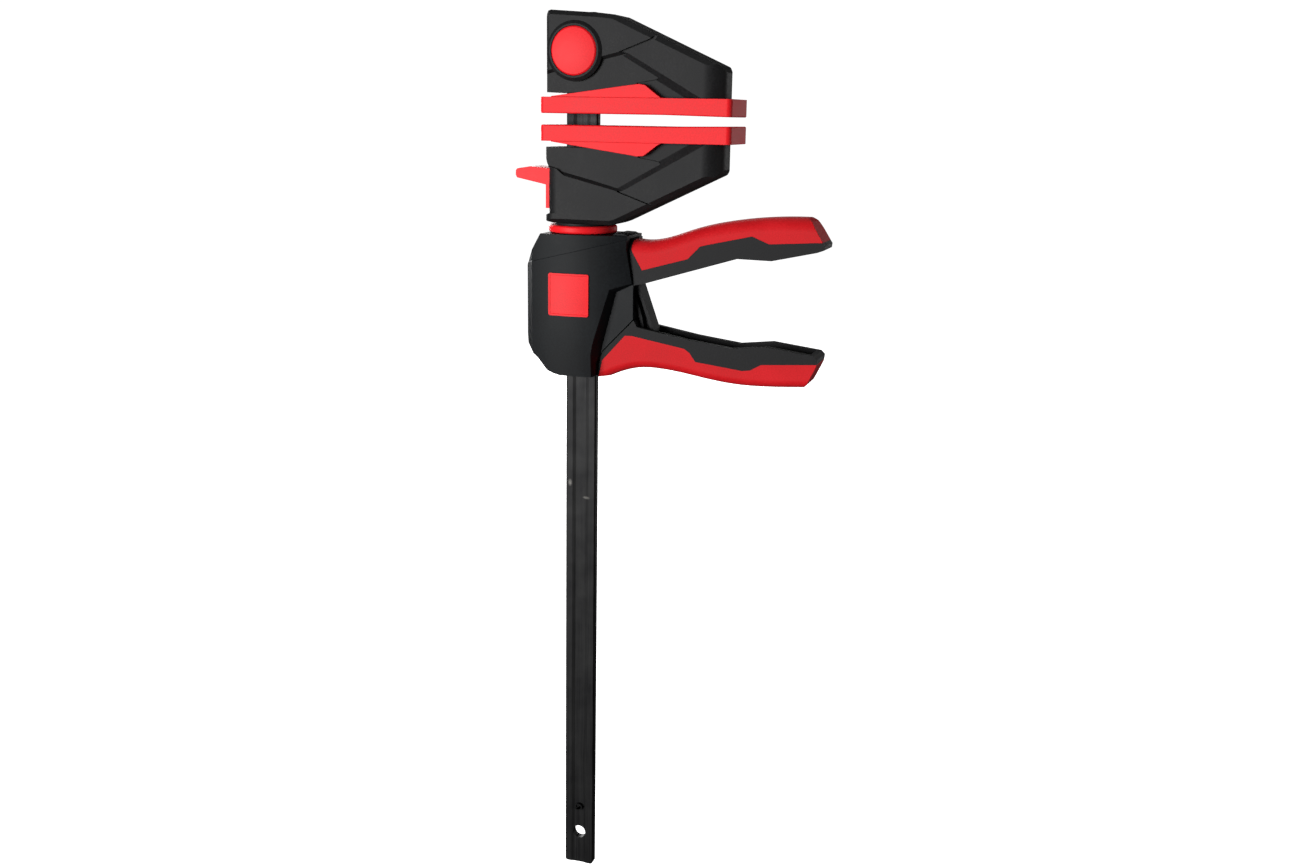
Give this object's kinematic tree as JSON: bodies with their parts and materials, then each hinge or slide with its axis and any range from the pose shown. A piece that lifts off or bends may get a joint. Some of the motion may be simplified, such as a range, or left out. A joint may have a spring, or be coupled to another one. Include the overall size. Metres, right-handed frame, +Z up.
{
  "type": "quick release bar clamp",
  "caption": "One-handed bar clamp: a pump lever walks the moving jaw up a flat steel rail to a fixed jaw, with a release lever, a swivelling handle and a push-button fixed jaw.",
  "frame": {"origin": "centre of the round hole near the free end of the rail", "axes": "+Z up the rail towards the fixed jaw, +X from the rail towards the tips of the jaws, -Y the side with the release button and the badge plate"},
  "size_m": [0.1874, 0.0446, 0.5417],
  "materials": {
    "blued_steel": "dark satin coated steel",
    "bright_steel": "bright hardened steel",
    "spring_steel": "drawn spring wire",
    "zinc_screw": "zinc plated steel",
    "black_nylon": "fine grained glass filled nylon",
    "housing_black": "fine grained glass filled nylon",
    "handle_black": "fine grained glass filled nylon",
    "red_pad": "satin moulded plastic",
    "red_plastic": "satin moulded plastic",
    "soft_red": "matt soft-touch overmould"
  },
  "bodies": {
    "rail": {"rail": "blued_steel", "stop_pin": "bright_steel", "fixed_jaw": "black_nylon", "fixed_pad": "red_pad", "button_spring": "spring_steel"},
    "button": {"release_button": "red_plastic", "latch_bolt": "bright_steel"},
    "carriage": {"moving_jaw": "black_nylon", "moving_pad": "red_pad", "collar_ring": "red_plastic", "swivel_neck": "black_nylon", "neck_screws": "zinc_screw", "brake_pin": "bright_steel", "brake_spring": "spring_steel", "return_spring": "spring_steel", "guide_bush": "black_nylon"},
    "release_lever": {"release_lever": "red_plastic", "brake_plates": "bright_steel"},
    "handle": {"housing_near": "housing_black", "housing_far": "housing_black", "housing_screws": "zinc_screw", "badge_plate": "red_plastic", "grip_core": "handle_black", "grip_cover": "soft_red", "pivot_pin": "bright_steel"},
    "pump_lever": {"pump_lever": "handle_black", "lever_cover": "soft_red"},
    "drive": {"drive_carrier": "bright_steel", "drive_plates": "bright_steel", "spring_seat": "bright_steel"}
  },
  "joints": [
    {"name": "button_press", "type": "slide", "parent": "rail", "child": "button", "axis": [0, 1, 0], "range_m": [0, 0.0046], "stiffness_N_per_m": 1500, "springref_m": -0.003},
    {"name": "carriage_slide", "type": "slide", "parent": "rail", "child": "carriage", "axis": [0, 0, 1], "range_m": [-0.287, 0.0048]},
    {"name": "release_press", "type": "hinge", "parent": "carriage", "child": "release_lever", "pos_m": [0.0145, 0, 0.4254], "axis": [0, -1, 0], "range_deg": [0, 4.5], "stiffness_Nm_per_rad": 1.2, "springref_deg": -8.59, "deforming": ["brake_spring"]},
    {"name": "handle_turn", "type": "hinge", "parent": "carriage", "child": "handle", "pos_m": [0, 0, 0.3495], "axis": [0, 0, 1], "continuous": true},
    {"name": "pump_squeeze", "type": "hinge", "parent": "handle", "child": "pump_lever", "pos_m": [-0.02, 0, 0.331], "axis": [0, 1, 0], "range_deg": [0, 13], "stiffness_Nm_per_rad": 2, "springref_deg": -8.59},
    {"name": "drive_stroke", "type": "slide", "parent": "carriage", "child": "drive", "axis": [0, 0, -1], "range_m": [0, 0.0058], "deforming": ["return_spring"]}
  ],
  "couplings": [
    {"joint": "drive_stroke", "follows": "pump_squeeze", "m_per_rad": 0.0252}
  ]
}
